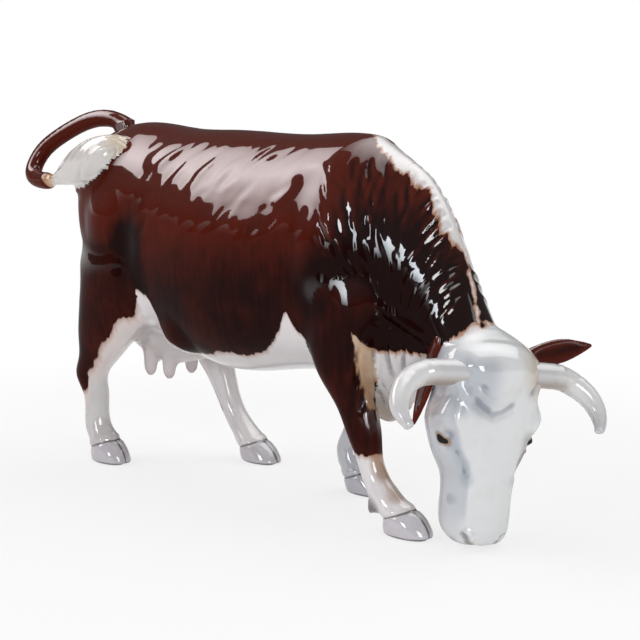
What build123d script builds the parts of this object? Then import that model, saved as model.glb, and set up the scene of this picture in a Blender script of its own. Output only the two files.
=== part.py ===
from build123d import *
from math import copysign, cos, pi, radians, sin
import os

os.makedirs("parts", exist_ok=True)

# A grazing cow in glazed porcelain, in millimetres: +X towards the chest, +Y to the cow's left, +Z up,
# hooves on z = 0. While it is modelled, x = 0 is the back of the rump and y = 0 the spine.
# The trunk, neck and head are hollow castings. The legs, udder, horns, ears and tail were stuck on
# with slip before firing, so each of them ends in a saddle cut by the larger form that carries it.

# Trunk
withers_height = 161.0
trunk_length = 172.0
barrel_width = 78.0
barrel_depth = 106.5
casting_wall = 4.0
vent_diameter = 4.0

# Neck and head
neck_width = 64.0
poll_reach = 68.5
poll_side = -9.0
head_length = 85.0
head_width = 45.0
head_depth = 40.0
head_wall = 3.5
muzzle_height = 1.8
head_turn_angle = -26.0
head_tilt_angle = -1.0
head_roll_angle = 6.5
air_passage_diameter = 6.0
eye_radius = 3.0
nostril_radius = 1.8

# Horns and ears
horn_reach = 44.0
horn_radius = 4.8
ear_length = 38.0
ear_width = 11.0
ear_thickness = 4.2

# Legs
hind_leg_girth = 52.0
hind_leg_width = 28.0
hind_track = 49.0
fore_leg_girth = 38.0
fore_leg_width = 24.0
fore_track = 48.0
cleft_width = 1.8
cleft_height = 9.5
dewclaw_radius = 2.2
dewclaw_length = 4.5
dewclaw_taper_angle = 20.0

# Udder
udder_length = 50.0
udder_width = 25.0
udder_depth = 26.0
teat_length = 13.0
teat_radius = 3.4

# Tail
tail_reach = 38.0
tail_drop = 32.0
tail_side = 26.0
tail_radius = 2.6
switch_radius = 9.5

# One overrun serves every cut
overrun = 6.0

section_count = 8
trunk_round_share = 0.86
neck_round_share = 0.93
head_round_share = 0.72
leg_round_share = 0.92
neck_pinch_share = 0.45
head_pinch_share = 0.3
teat_root_share = 0.33
cleft_start_share = -0.5
hind_leg_share = 1.186
fore_leg_share = 1.353
fetlock_share = 0.1

# Along the trunk, height of the back, half width, and rise to the back and fall to the belly from a section's
# centre
trunk_shares = [
    (0.0, 0.861, 0.12, 0.1, 0.15),
    (0.029, 0.9285, 0.285, 0.22, 0.3),
    (0.093, 0.983, 0.365, 0.34, 0.42),
    (0.198, 1.0075, 0.42, 0.415, 0.478),
    (0.355, 0.995, 0.455, 0.452, 0.488),
    (0.529, 0.994, 0.494, 0.535, 0.479),
    (0.674, 0.99, 0.5, 0.549, 0.45),
    (0.82, 0.991, 0.468, 0.54, 0.422),
    (0.907, 0.997, 0.449, 0.535, 0.432),
    (1.0, 0.991, 0.41, 0.512, 0.516),
]

# From the trunk's joint to the poll: crest forward and down, throat forward and up, half width
neck_shares = [
    (0.165, 0.087, 0.105, -0.314, 0.42),
    (0.396, 0.248, 0.242, -0.148, 0.336),
    (0.577, 0.462, 0.365, 0.137, 0.29),
    (0.705, 0.688, 0.496, 0.358, 0.266),
    (0.822, 0.894, 0.613, 0.454, 0.255),
    (0.931, 1.056, 0.759, 0.462, 0.235),
]

# Along the head from poll to muzzle, centre towards the face, half width, depth to the face and to the
# jaw, and how far the face is narrower than the jaw
head_shares = [
    (0.0, -0.36, 0.1, 0.08, 0.1, 0.0),
    (0.03, -0.32, 0.25, 0.2, 0.2, 0.0),
    (0.09, -0.2, 0.39, 0.34, 0.36, 0.0),
    (0.18, -0.08, 0.48, 0.33, 0.5, 0.0),
    (0.295, -0.04, 0.465, 0.28, 0.6, 0.0),
    (0.41, 0.0, 0.5, 0.25, 0.68, 0.05),
    (0.5, 0.0, 0.475, 0.25, 0.68, 0.1),
    (0.6, -0.02, 0.385, 0.28, 0.56, 0.1),
    (0.7, -0.06, 0.32, 0.34, 0.4, 0.1),
    (0.8, -0.08, 0.305, 0.37, 0.32, 0.1),
    (0.9, -0.07, 0.31, 0.36, 0.28, 0.1),
    (0.965, -0.02, 0.27, 0.29, 0.23, 0.05),
    (1.0, 0.03, 0.17, 0.16, 0.15, 0.0),
]
eye_shares = (0.51, 0.03, 0.435)
nostril_shares = (0.953, 0.235, 0.145)

# Height, fore-and-aft size and width, from the hidden root down to the sole
hind_girth_shares = [
    (0.857, 0.38, 0.38), (0.743, 0.47, 0.47), (0.657, 0.5, 0.5), (0.557, 0.433, 0.446),
    (0.443, 0.317, 0.375), (0.357, 0.212, 0.286), (0.293, 0.158, 0.243), (0.236, 0.125, 0.214),
    (0.157, 0.119, 0.2), (0.107, 0.135, 0.229), (0.079, 0.154, 0.25), (0.057, 0.181, 0.268),
    (0.029, 0.208, 0.279), (0.0, 0.223, 0.282),
]
fore_girth_shares = [
    (0.871, 0.34, 0.28), (0.743, 0.45, 0.42), (0.657, 0.487, 0.49), (0.557, 0.408, 0.438),
    (0.443, 0.316, 0.375), (0.357, 0.237, 0.312), (0.271, 0.197, 0.271), (0.2, 0.15, 0.221),
    (0.143, 0.163, 0.242), (0.1, 0.189, 0.279), (0.079, 0.216, 0.296), (0.057, 0.25, 0.317),
    (0.029, 0.289, 0.325), (0.0, 0.313, 0.329),
]

# Where each sole's centre stands along the trunk, then how far each section lies ahead of the sole
# as a share of the leg's height, and out from the spine as a share of half the track
hind_right_foot_share = 0.16
hind_right_stance_shares = [
    (0.092, 0.7), (0.077, 0.87), (0.064, 0.96), (0.046, 1.0), (-0.004, 1.02), (-0.05, 1.02),
    (-0.086, 1.02), (-0.071, 1.0), (-0.068, 1.0), (-0.054, 1.0), (-0.034, 0.98), (-0.019, 0.98),
    (-0.009, 0.98), (0.0, 0.98),
]
hind_left_foot_share = 0.477
hind_left_stance_shares = [
    (-0.238, 0.7), (-0.23, 0.87), (-0.229, 0.96), (-0.229, 1.0), (-0.243, 1.0), (-0.243, 1.0),
    (-0.207, 1.0), (-0.179, 1.0), (-0.136, 1.0), (-0.093, 1.0), (-0.057, 0.98), (-0.032, 0.98),
    (-0.014, 0.98), (0.0, 0.98),
]
fore_right_foot_share = 1.215
fore_right_stance_shares = [
    (-0.307, 0.52), (-0.275, 0.77), (-0.264, 0.94), (-0.261, 1.0), (-0.243, 1.02), (-0.2, 1.0),
    (-0.168, 1.0), (-0.146, 1.0), (-0.118, 1.0), (-0.079, 1.0), (-0.048, 1.0), (-0.021, 1.0),
    (-0.007, 1.0), (0.0, 1.0),
]
fore_left_foot_share = 0.91
fore_left_stance_shares = [
    (0.043, 0.52), (0.068, 0.76), (0.054, 0.89), (0.036, 0.9), (0.014, 0.83), (-0.011, 0.75),
    (-0.036, 0.67), (-0.061, 0.63), (-0.079, 0.6), (-0.064, 0.6), (-0.046, 0.6), (-0.029, 0.6),
    (-0.011, 0.6), (0.0, 0.6),
]

# Where the udder starts along the trunk and how far its centre sinks below the belly, then along it, height,
# half width, rise and fall
udder_start_share = 0.122
udder_sink_share = 0.166
udder_shares = [
    (0.0, 0.08, 0.3, 0.3, 0.2),
    (0.2, 0.0, 0.44, 0.5, 0.42),
    (0.48, -0.04, 0.5, 0.5, 0.5),
    (0.8, -0.08, 0.42, 0.4, 0.42),
    (1.0, -0.1, 0.22, 0.25, 0.28),
]
teat_place_shares = [(0.36, -0.33), (0.62, -0.33), (0.28, 0.33), (0.58, 0.33)]
teat_radius_shares = [(0.0, 1.15), (0.45, 1.0), (0.85, 0.75), (1.0, 0.35)]

# A horn from its root: down the head, out of the face and sideways, and its radius
horn_shares = [
    (0.194, 0.05, 0.34, 1.2), (0.198, 0.05, 0.55, 1.1), (0.208, 0.025, 0.686, 1.06),
    (0.234, 0.037, 0.816, 1.02), (0.272, 0.11, 0.923, 0.94), (0.32, 0.2, 0.989, 0.83),
    (0.374, 0.3, 1.0, 0.65), (0.425, 0.405, 0.95, 0.42),
]

# Root of each ear inside the head, its direction, and the leaf's reach, width and thickness
left_ear_root_shares = (0.145, -0.27, 0.42)
left_ear_direction_shares = (-0.145, -0.184, 0.972)
right_ear_root_shares = (0.06, -0.3, -0.42)
right_ear_direction_shares = (0.98, -0.12, -0.12)
ear_leaf_shares = [(0.0, 0.5, 1.0), (0.2, 0.8, 0.9), (0.5, 1.0, 0.7), (0.8, 0.62, 0.55), (1.0, 0.14, 0.25)]

# The tail behind the rump, its height above the rump's centre line and its side; the tuft adds a radius
tail_shares = [
    (-0.85, 0.6, 0.0), (-0.52, 0.92, 0.0), (-0.26, 1.02, -0.04), (0.2, 0.95, -0.15), (0.62, 0.7, -0.35),
    (0.88, 0.4, -0.54), (0.89, 0.17, -0.69), (0.6, 0.05, -0.84), (0.2, 0.1, -0.92), (-0.1, 0.24, -0.97),
]
switch_shares = [
    (0.3, 0.06, -0.9, 0.28), (0.0, 0.19, -0.96, 0.52), (-0.3, 0.35, -1.0, 0.86), (-0.6, 0.52, -1.02, 1.0),
    (-0.88, 0.69, -0.95, 0.8), (-1.05, 0.8, -0.88, 0.4),
]


def swell(value, round_share):
    """Bend a cosine or sine so that an oval becomes fuller at its shoulders."""
    return copysign(abs(value) ** round_share, value)


def oval(plane, half_width, rise, fall, round_share, pinch_share=0, crown_share=0):
    """A closed section with its own rise and fall, narrowed towards its foot and its crown by two shares."""
    points = []
    for step in range(section_count):
        turn = 2 * pi * step / section_count
        height = swell(sin(turn), round_share)
        narrowing = crown_share if height > 0 else pinch_share
        width = half_width * swell(cos(turn), round_share) * (1 - narrowing * height**2)
        points.append((width, height * (rise if height > 0 else fall)))
    with BuildSketch(plane) as section:
        with BuildLine():
            Spline(*points, periodic=True)
        make_face()
    return section.sketch


def upright(x, y, z):
    """A plane across the spine, its y axis up."""
    return Plane(origin=(x, y, z), x_dir=(0, 1, 0), z_dir=(1, 0, 0))


def tube_sections(points, radii, reference, flatness_shares=None):
    """Round or flattened sections square to a path, held level by a reference direction."""
    sections = []
    for index, (point, radius) in enumerate(zip(points, radii)):
        ahead = points[min(index + 1, len(points) - 1)]
        behind = points[max(index - 1, 0)]
        along = (ahead - behind).normalized()
        across = (reference - along * reference.dot(along)).normalized()
        thickness = radius * flatness_shares[index] if flatness_shares else radius
        square = Plane(origin=point, x_dir=across, z_dir=along)
        sections.append(oval(square, radius, thickness, thickness, 1.0))
    return sections


# Trunk

def trunk_centre(row):
    """Height of a trunk section's centre, which hangs below the back."""
    return row[1] * withers_height - row[3] * barrel_depth


def trunk_belly(row):
    """Height of a trunk section's lowest point."""
    return trunk_centre(row) - row[4] * barrel_depth


def trunk_section(row, inset=0, shift=0):
    """One section of the trunk, drawn in by a wall and moved along by a shift."""
    along, back, half_width, rise, fall = row
    return oval(
        upright(along * trunk_length + shift, 0, trunk_centre(row)),
        half_width * barrel_width - inset,
        rise * barrel_depth - inset,
        fall * barrel_depth - inset,
        trunk_round_share,
    )


with BuildPart() as trunk_form:
    loft([trunk_section(row) for row in trunk_shares])

trunk_hollow = [trunk_section(trunk_shares[1], casting_wall, casting_wall)]
trunk_hollow += [trunk_section(row, casting_wall) for row in trunk_shares[2:-1]]
trunk_hollow += [trunk_section(trunk_shares[-1], casting_wall, overrun)]
belly_row = trunk_shares[5]

with BuildPart() as trunk:
    add(trunk_form.part)
    loft(trunk_hollow, mode=Mode.SUBTRACT)
    with BuildSketch(Plane.XY.offset(trunk_centre(belly_row))):
        with Locations((belly_row[0] * trunk_length, 0)):
            Circle(vent_diameter / 2)
    extrude(amount=-barrel_depth, mode=Mode.SUBTRACT)


# Head: its own axes run from poll to muzzle, out of the face, and to the cow's left

turn_angle = radians(head_turn_angle)
tilt_angle = radians(head_tilt_angle)
roll_angle = radians(head_roll_angle)
heading = Vector(cos(turn_angle), sin(turn_angle), 0)
sideways = Vector(-sin(turn_angle), cos(turn_angle), 0)
level_down = heading * sin(tilt_angle) - Vector(0, 0, 1) * cos(tilt_angle)
head_out = heading * cos(tilt_angle) + Vector(0, 0, 1) * sin(tilt_angle)
head_down = level_down * cos(roll_angle) - sideways * sin(roll_angle)
head_left = sideways * cos(roll_angle) + level_down * sin(roll_angle)
poll = Vector(trunk_length + poll_reach, poll_side, muzzle_height - head_length * head_down.Z)


def on_head(down_share, out_share, left):
    """A place on the head: down its length, out by its depth, and left in millimetres."""
    middle_line = poll + head_down * (down_share * head_length)
    return middle_line + head_out * (out_share * head_depth) + head_left * left


def head_section(row, inset=0):
    """One section of the head, drawn in by a wall."""
    along, centre, half_width, face, jaw, crown_share = row
    return oval(
        Plane(origin=on_head(along, centre, 0), x_dir=head_left, z_dir=head_down),
        half_width * head_width - inset,
        face * head_depth - inset,
        jaw * head_depth - inset,
        head_round_share,
        head_pinch_share,
        crown_share,
    )


with BuildPart() as head_form:
    loft([head_section(row) for row in head_shares])
    for side in (1, -1):
        with Locations(on_head(eye_shares[0], eye_shares[1], side * eye_shares[2] * head_width)):
            Sphere(eye_radius)
        with Locations(on_head(nostril_shares[0], nostril_shares[1], side * nostril_shares[2] * head_width)):
            Sphere(nostril_radius, mode=Mode.SUBTRACT)


# Neck: the first section is the trunk's own joint face, the last lies inside the poll

joint_top = trunk_shares[-1][1] * withers_height
joint_foot = trunk_belly(trunk_shares[-1])


def neck_section(row, inset=0):
    """One section of the neck, from throat to crest, drawn in by a wall."""
    crest_forward, crest_down, throat_forward, throat_up, half_width = row
    side = crest_forward**2 * poll_side
    crest_z = joint_top + crest_down * (poll.Z - joint_top)
    throat_z = joint_foot + throat_up * (poll.Z - joint_foot)
    crest = Vector(trunk_length + crest_forward * poll_reach, side, crest_z)
    throat = Vector(trunk_length + throat_forward * poll_reach, side, throat_z)
    up = crest - throat
    across = Vector(0, 1, 0)
    return oval(
        Plane(origin=(crest + throat) / 2, x_dir=across, z_dir=across.cross(up)),
        half_width * neck_width - inset,
        up.length / 2 - inset,
        up.length / 2 - inset,
        neck_round_share,
        neck_pinch_share,
    )


with BuildPart() as neck_form:
    loft([trunk_section(trunk_shares[-1])] + [neck_section(row) for row in neck_shares])

neck_hollow = [trunk_section(trunk_shares[-1], casting_wall, -overrun)]
neck_hollow += [neck_section(row, casting_wall) for row in neck_shares[:-2]]
passage_start = neck_hollow[-1].center()
passage_end = on_head(head_shares[4][0], head_shares[4][1], 0)
passage_plane = Plane(origin=passage_start, z_dir=passage_end - passage_start)
passage_length = (passage_end - passage_start).length

with BuildPart() as air_passage:
    with BuildSketch(passage_plane):
        Circle(air_passage_diameter / 2)
    extrude(amount=passage_length)

with BuildPart() as head:
    add(head_form.part)
    loft([head_section(row, head_wall) for row in head_shares[3:9]], mode=Mode.SUBTRACT)
    add(air_passage.part, mode=Mode.SUBTRACT)

with BuildPart() as neck:
    add(neck_form.part)
    loft(neck_hollow, mode=Mode.SUBTRACT)
    add(head_form.part, mode=Mode.SUBTRACT)
    add(air_passage.part, mode=Mode.SUBTRACT)


# Horns and ears

horn_points = [on_head(down, out, -side * horn_reach) for down, out, side, radius in horn_shares]
horn_radii = [radius * horn_radius for down, out, side, radius in horn_shares]

with BuildPart() as horn_form:
    loft(tube_sections(horn_points, horn_radii, head_out))

with BuildPart() as horn_right:
    add(horn_form.part)
    add(head_form.part, mode=Mode.SUBTRACT)

with BuildPart() as horn_left:
    mirror(horn_form.part, about=Plane(origin=poll, z_dir=head_left))
    add(head_form.part, mode=Mode.SUBTRACT)


def ear_sections(root_shares, direction_shares, level):
    """Flattened sections of one ear, from its root to its tip, with a level edge."""
    root = on_head(root_shares[0], root_shares[1], root_shares[2] * head_width)
    down, out, left = direction_shares
    along = (head_down * down + head_out * out + head_left * left).normalized()
    points = [root + along * (reach * ear_length) for reach, width, thickness in ear_leaf_shares]
    radii = [width * ear_width / 2 for reach, width, thickness in ear_leaf_shares]
    slimness = ear_thickness / ear_width
    flatness_shares = [slimness * thickness / width for reach, width, thickness in ear_leaf_shares]
    return tube_sections(points, radii, level, flatness_shares)


with BuildPart() as ear_right:
    loft(ear_sections(right_ear_root_shares, right_ear_direction_shares, head_out))
    for carrier in (head_form, horn_right, neck_form):
        add(carrier.part, mode=Mode.SUBTRACT)

with BuildPart() as ear_left:
    loft(ear_sections(left_ear_root_shares, left_ear_direction_shares, head_down))
    for carrier in (head_form, horn_left, neck_form):
        add(carrier.part, mode=Mode.SUBTRACT)


# Legs: lofted from root to sole, with cloven hooves and two dewclaws behind the fetlock

with BuildPart() as torso_form:
    add(trunk_form.part)
    add(neck_form.part)


def leg(girth_shares, stance_shares, height, girth, width, track, foot_share, side):
    """One leg, cut by the trunk and neck that carry it."""
    foot_x = foot_share * trunk_length
    foot_y = side * stance_shares[-1][1] * track / 2
    sections = []
    for (up, fore_aft, across), (ahead, out) in zip(girth_shares, stance_shares):
        level = Plane((foot_x + ahead * height, side * out * track / 2, up * height))
        sections.append(oval(level, fore_aft * girth, across * width, across * width, leg_round_share))
    toe = girth_shares[-1][1] * girth
    fetlock = [row[0] > fetlock_share for row in girth_shares].index(False)
    fetlock_z = girth_shares[fetlock][0] * height
    fetlock_ahead = stance_shares[fetlock][0] * height - girth_shares[fetlock][1] * girth
    with BuildPart() as limb:
        loft(sections)
        for offset in (-1, 1):
            root_x = foot_x + fetlock_ahead + dewclaw_radius
            root_y = foot_y + offset * dewclaw_radius
            spur = Plane(origin=(root_x, root_y, fetlock_z), z_dir=(-1, 0, -1))
            with BuildSketch(spur):
                Circle(dewclaw_radius)
            extrude(amount=dewclaw_length, taper=dewclaw_taper_angle)
        with BuildSketch(Plane.XY.offset(-overrun)):
            with BuildLine():
                Polyline(
                    (foot_x + cleft_start_share * toe, foot_y),
                    (foot_x + toe + overrun, foot_y - cleft_width),
                    (foot_x + toe + overrun, foot_y + cleft_width),
                    close=True,
                )
            make_face()
        extrude(amount=overrun + cleft_height, mode=Mode.SUBTRACT)
        add(torso_form.part, mode=Mode.SUBTRACT)
    return limb


hind_leg_height = hind_leg_share * trunk_centre(trunk_shares[3])
fore_leg_height = fore_leg_share * trunk_centre(trunk_shares[8])
hind_sizes = (hind_leg_height, hind_leg_girth, hind_leg_width, hind_track)
fore_sizes = (fore_leg_height, fore_leg_girth, fore_leg_width, fore_track)
hindleg_right = leg(hind_girth_shares, hind_right_stance_shares, *hind_sizes, hind_right_foot_share, -1)
hindleg_left = leg(hind_girth_shares, hind_left_stance_shares, *hind_sizes, hind_left_foot_share, 1)
foreleg_right = leg(fore_girth_shares, fore_right_stance_shares, *fore_sizes, fore_right_foot_share, -1)
foreleg_left = leg(fore_girth_shares, fore_left_stance_shares, *fore_sizes, fore_left_foot_share, 1)


# Udder with its four teats, between the hind legs

udder_x = udder_start_share * trunk_length
udder_z = trunk_belly(trunk_shares[3]) - udder_sink_share * udder_depth


def udder_section(row):
    """One section across the udder."""
    along, lift, half_width, rise, fall = row
    plane = upright(udder_x + along * udder_length, 0, udder_z + lift * udder_depth)
    return oval(plane, half_width * udder_width, rise * udder_depth, fall * udder_depth, trunk_round_share)


with BuildPart() as udder:
    loft([udder_section(row) for row in udder_shares])
    for along, out in teat_place_shares:
        teat_x = udder_x + along * udder_length
        teat_y = out * udder_width
        teat_z = udder_z - udder_depth * udder_shares[2][4]
        root_z = teat_z + teat_root_share * teat_length
        points = [Vector(teat_x, teat_y, root_z - reach * teat_length) for reach, _ in teat_radius_shares]
        radii = [share * teat_radius for _, share in teat_radius_shares]
        loft(tube_sections(points, radii, Vector(1, 0, 0)))
    add(trunk_form.part, mode=Mode.SUBTRACT)


# Tail: a rope that loops back and ends in a tuft of hair lying on the right of the rump

tail_base_z = trunk_centre(trunk_shares[0])


def tail_place(behind, up, side):
    """A place on the tail, behind the rump and above its centre line."""
    return Vector(-behind * tail_reach, side * tail_side, tail_base_z + up * tail_drop)


switch_points = [tail_place(*row[:3]) for row in switch_shares]
switch_radii = [row[3] * switch_radius for row in switch_shares]

with BuildPart() as tail:
    with BuildLine() as tail_path:
        Spline(*[tail_place(*row) for row in tail_shares])
    with BuildSketch(Plane(origin=tail_path.line @ 0, z_dir=tail_path.line % 0)):
        Circle(tail_radius)
    sweep()
    loft(tube_sections(switch_points, switch_radii, Vector(0, 1, 0)))
    add(trunk_form.part, mode=Mode.SUBTRACT)


# Every piece is set about the middle of the whole figure, on the ground

pieces = {
    "trunk": trunk,
    "neck": neck,
    "head": head,
    "horn_right": horn_right,
    "horn_left": horn_left,
    "ear_right": ear_right,
    "ear_left": ear_left,
    "foreleg_right": foreleg_right,
    "foreleg_left": foreleg_left,
    "hindleg_right": hindleg_right,
    "hindleg_left": hindleg_left,
    "udder": udder,
    "tail": tail,
}
outline = Compound([piece.part for piece in pieces.values()]).bounding_box()
middle = Location((-outline.center().X, -outline.center().Y, 0))
for name, piece in pieces.items():
    finished = piece.part.moved(middle)
    finished.label = name
    export_step(finished, f"parts/{name}.step")
    print(name, len(finished.solids()), round(finished.volume), finished.is_valid)
print("size", outline.size, "moved by", middle.position)
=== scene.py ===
import logging
import math
from dataclasses import dataclass, field
from enum import Enum
from typing import Any, ClassVar, Dict, List, Optional, Sequence, Tuple, Union

import bpy
import numpy as np
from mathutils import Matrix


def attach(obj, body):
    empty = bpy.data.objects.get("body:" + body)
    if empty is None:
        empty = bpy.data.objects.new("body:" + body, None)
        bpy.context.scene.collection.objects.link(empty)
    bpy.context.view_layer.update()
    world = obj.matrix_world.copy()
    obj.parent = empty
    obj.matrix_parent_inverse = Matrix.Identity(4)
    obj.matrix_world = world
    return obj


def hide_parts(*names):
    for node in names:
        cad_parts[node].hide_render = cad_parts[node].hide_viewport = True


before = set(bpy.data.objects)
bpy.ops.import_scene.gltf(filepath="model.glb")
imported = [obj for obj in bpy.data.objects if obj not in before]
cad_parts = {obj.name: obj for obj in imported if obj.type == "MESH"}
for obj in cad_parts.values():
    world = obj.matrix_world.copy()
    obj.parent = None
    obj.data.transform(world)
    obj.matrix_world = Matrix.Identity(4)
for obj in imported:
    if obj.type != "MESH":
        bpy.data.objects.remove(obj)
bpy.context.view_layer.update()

import openvdb as vdb
from mathutils import Quaternion, Vector

METRES = 0.001
MIDDLE = 5.7
Point = Tuple[float, float, float]
Colour = Tuple[float, float, float]
Row = Tuple[float, float]
Array = np.ndarray
log = logging.getLogger("cow")


def ease(low: float, high: float, value: Array) -> Array:
    """A smooth step from 0 at low to 1 at high."""
    t = np.clip((value - low) / (high - low), 0.0, 1.0)
    return t * t * (3.0 - 2.0 * t)


def unit(vectors: Array) -> Array:
    """Vectors brought to length 1."""
    return vectors / np.maximum(np.linalg.norm(vectors, axis=-1, keepdims=True), 1e-9)


def read_off(rows: Sequence[Row], value: Array) -> Array:
    """A table of pairs read at any value, straight between its rows."""
    table = np.array(sorted(rows))
    return np.interp(value, table[:, 0], table[:, 1])


def along(points: Array, path: Sequence[Sequence[float]]) -> Tuple[Array, Array]:
    """How far points are from a line of short runs, and how far along it.

    Args:
        points: places in millimetres, one a row.
        path: the corners of the line.

    Returns:
        The distance to the line, and the share of its length at the nearest place.
    """
    corners = np.asarray(path, float)
    runs = np.linalg.norm(np.diff(corners, axis=0), axis=1)
    best = np.full(len(points), np.inf)
    share = np.zeros(len(points))
    gone = 0.0
    for start, end, run in zip(corners[:-1], corners[1:], runs):
        t = np.clip((points - start) @ (end - start) / max(run * run, 1e-9), 0.0, 1.0)
        apart = np.linalg.norm(points - start - t[:, None] * (end - start), axis=1)
        nearer = apart < best
        best = np.where(nearer, apart, best)
        share = np.where(nearer, (gone + t * run) / runs.sum(), share)
        gone += run
    return best, share


class Piece(Enum):
    """The figure's visible pieces, by the CAD node that each stands for."""
    TRUNK = "trunk"
    NECK = "neck"
    HEAD = "head"
    HORN_RIGHT = "horn_right"
    HORN_LEFT = "horn_left"
    EAR_RIGHT = "ear_right"
    EAR_LEFT = "ear_left"
    FORELEG_RIGHT = "foreleg_right"
    FORELEG_LEFT = "foreleg_left"
    HINDLEG_RIGHT = "hindleg_right"
    HINDLEG_LEFT = "hindleg_left"
    UDDER = "udder"
    TAIL = "tail"


class Finish(Enum):
    """The record's material slots."""
    CHESTNUT = "chestnut_glaze"
    WHITE = "white_glaze"
    HORN = "horn_glaze"
    UDDER = "udder_glaze"


PIECES = list(Piece)
APART = (Piece.HORN_RIGHT, Piece.HORN_LEFT, Piece.EAR_RIGHT, Piece.EAR_LEFT)


@dataclass(frozen=True)
class HeadAxes:
    """The head's own directions: down the face, out of the forehead, and to the cow's left."""
    poll: Point = (122.69, -3.34, 86.2)
    down: Point = (-0.065, -0.094, -0.993)
    out: Point = (0.899, -0.438, -0.017)
    left: Point = (0.434, 0.894, -0.113)

    def inside(self, points: Array) -> Array:
        """Places as distances down, out and left from the poll."""
        return (points - np.array(self.poll)) @ np.array([self.down, self.out, self.left]).T

    def folded(self, points: Array) -> Array:
        """The same, with both sides of the face laid on one."""
        spots = self.inside(points)
        spots[:, 2] = np.abs(spots[:, 2])
        return spots


@dataclass
class Skin:
    """An outer surface: points in millimetres, faces of four corners, and each point's piece."""
    points: Array
    quads: Array
    owner: Array
    normals: Array = field(default_factory=lambda: np.zeros((0, 3)))

    def of(self, *pieces: Piece) -> Array:
        """Which points are on these pieces."""
        return np.isin(self.owner, [PIECES.index(p) for p in pieces])

    def settle(self) -> None:
        """Works the normals out again from the faces."""
        a, b, c, d = (self.points[self.quads[:, i]] for i in range(4))
        facing = np.cross(c - a, d - b)
        total = np.zeros_like(self.points)
        for i in range(4):
            for axis in range(3):
                total[:, axis] += np.bincount(self.quads[:, i], facing[:, axis], len(self.points))
        self.normals = unit(total)

    def links(self) -> Tuple[Array, Array]:
        """Both ends of every face edge, each edge once from either side."""
        starts = self.quads.ravel()
        ends = np.roll(self.quads, -1, axis=1).ravel()
        real = starts != ends
        starts, ends = starts[real], ends[real]
        return np.concatenate([starts, ends]), np.concatenate([ends, starts])

    def average(self, values: Array) -> Array:
        """Each point's mean of its neighbours' values."""
        starts, ends = self.links()
        count = np.maximum(np.bincount(starts, minlength=len(self.points)), 1)
        if values.ndim == 1:
            return np.bincount(starts, values[ends], len(self.points)) / count
        return np.stack([np.bincount(starts, values[ends, k], len(self.points)) / count
                         for k in range(values.shape[1])], axis=1)

    def push(self, lifts: Array) -> None:
        """Moves the points out along their normals."""
        self.points = self.points + self.normals * lifts[:, None]
        self.settle()

    def smooth(self, share: Array, times: int) -> None:
        """Rubs the clay smooth where the share is above 0.

        Args:
            share: how far each point follows its neighbours, from 0 to 1.
            times: how often.
        """
        for _ in range(times):
            self.points = self.points + 0.5 * share[:, None] * (self.average(self.points) - self.points)
        self.settle()

    def split(self, fine: Array) -> None:
        """Splits the marked faces in four, and fits the faces beside them to the new corners.

        Args:
            fine: which faces are split.
        """
        count = len(self.points)
        ahead = np.roll(self.quads, -1, axis=1)
        keys = np.minimum(self.quads, ahead).astype(np.int64) * count + np.maximum(self.quads, ahead)
        cut = np.unique(keys[fine])
        ends = np.stack([cut // count, cut % count], axis=1)
        has = np.isin(keys, cut)
        middle = count + np.searchsorted(cut, keys)
        touched = has.any(axis=1)
        hub = np.full(len(self.quads), -1)
        hub[touched] = count + len(cut) + np.arange(touched.sum())
        beside = touched & ~fine
        parts = [self.quads[~touched]]
        for i in range(4):
            parts.append(np.stack([self.quads[fine, i], middle[fine, i], hub[fine], middle[fine, i - 1]],
                                  axis=1))
            halved, plain = beside & has[:, i], beside & ~has[:, i]
            parts.append(np.stack([self.quads[halved, i], middle[halved, i], hub[halved], hub[halved]], axis=1))
            parts.append(np.stack([middle[halved, i], ahead[halved, i], hub[halved], hub[halved]], axis=1))
            parts.append(np.stack([self.quads[plain, i], ahead[plain, i], hub[plain], hub[plain]], axis=1))
        self.owner = np.concatenate([self.owner, self.owner[ends].max(axis=1),
                                     self.owner[self.quads[touched]].max(axis=1)])
        self.points = np.concatenate([self.points, self.points[ends].mean(axis=1),
                                      self.points[self.quads[touched]].mean(axis=1)])
        self.quads = np.concatenate(parts)
        self.settle()

    def hollows(self) -> Array:
        """How hollow the surface is at each point: 1 in a crease, 0 on a flat, less on a ridge."""
        starts, ends = self.links()
        edge = np.linalg.norm(self.points[starts] - self.points[ends], axis=1) ** 2
        size = np.bincount(starts, edge, len(self.points)) / np.maximum(
            np.bincount(starts, minlength=len(self.points)), 1)
        bend = np.einsum("ij,ij->i", self.average(self.points) - self.points, self.normals)
        bend = np.clip(bend / np.maximum(size, 0.02), -0.5, 0.5)
        for _ in range(5):
            bend = self.average(bend)
        return np.clip(bend * 7.0, -1.0, 1.0)


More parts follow.
